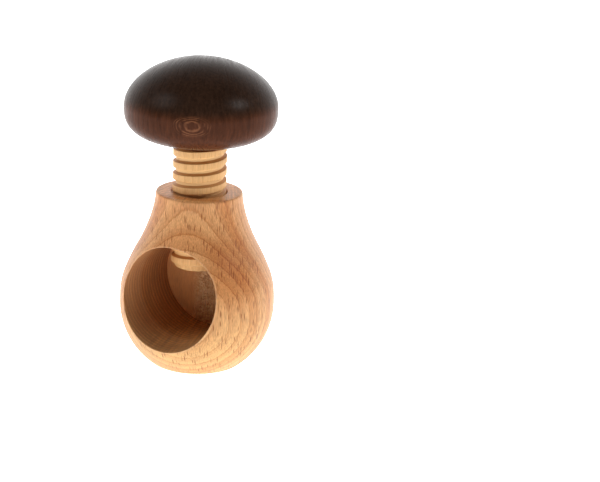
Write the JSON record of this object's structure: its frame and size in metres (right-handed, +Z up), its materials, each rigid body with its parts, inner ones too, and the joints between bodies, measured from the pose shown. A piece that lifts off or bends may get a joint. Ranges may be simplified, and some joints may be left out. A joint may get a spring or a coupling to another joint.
{
  "type": "nutcracker",
  "caption": "Turned wooden nutcracker: a round housing with a side chamber for the nut, cracked by a threaded spindle under a mushroom cap.",
  "frame": {"origin": "middle of the housing's flat foot", "axes": "+Z up along the screw's axis, -Y out of the nut chamber's mouth, +X to the right of someone looking into the chamber"},
  "size_m": [0.07, 0.0693, 0.1415],
  "materials": {
    "natural_beech": "oiled, satin",
    "pale_beech": "bare, cut thread",
    "stained_beech": "dark brown stain under satin lacquer",
    "wood_glue": "cured wood glue"
  },
  "bodies": {
    "housing_body": {"housing": "natural_beech"},
    "glue_carrier": {"glue_line": "wood_glue"},
    "screw_body": {"spindle": "pale_beech", "cap": "stained_beech"}
  },
  "joints": [
    {"name": "screw_slide", "type": "slide", "parent": "housing_body", "child": "glue_carrier", "axis": [0, 0, 1], "range_m": [-0.02256, 0.01652]},
    {"name": "screw_turn", "type": "hinge", "parent": "glue_carrier", "child": "screw_body", "pos_m": [0, 0, 0.1035], "axis": [0, 0, 1], "range_deg": [-1476, 1080]}
  ],
  "couplings": [
    {"joint": "screw_slide", "follows": "screw_turn", "m_per_rad": 0.00087535}
  ]
}
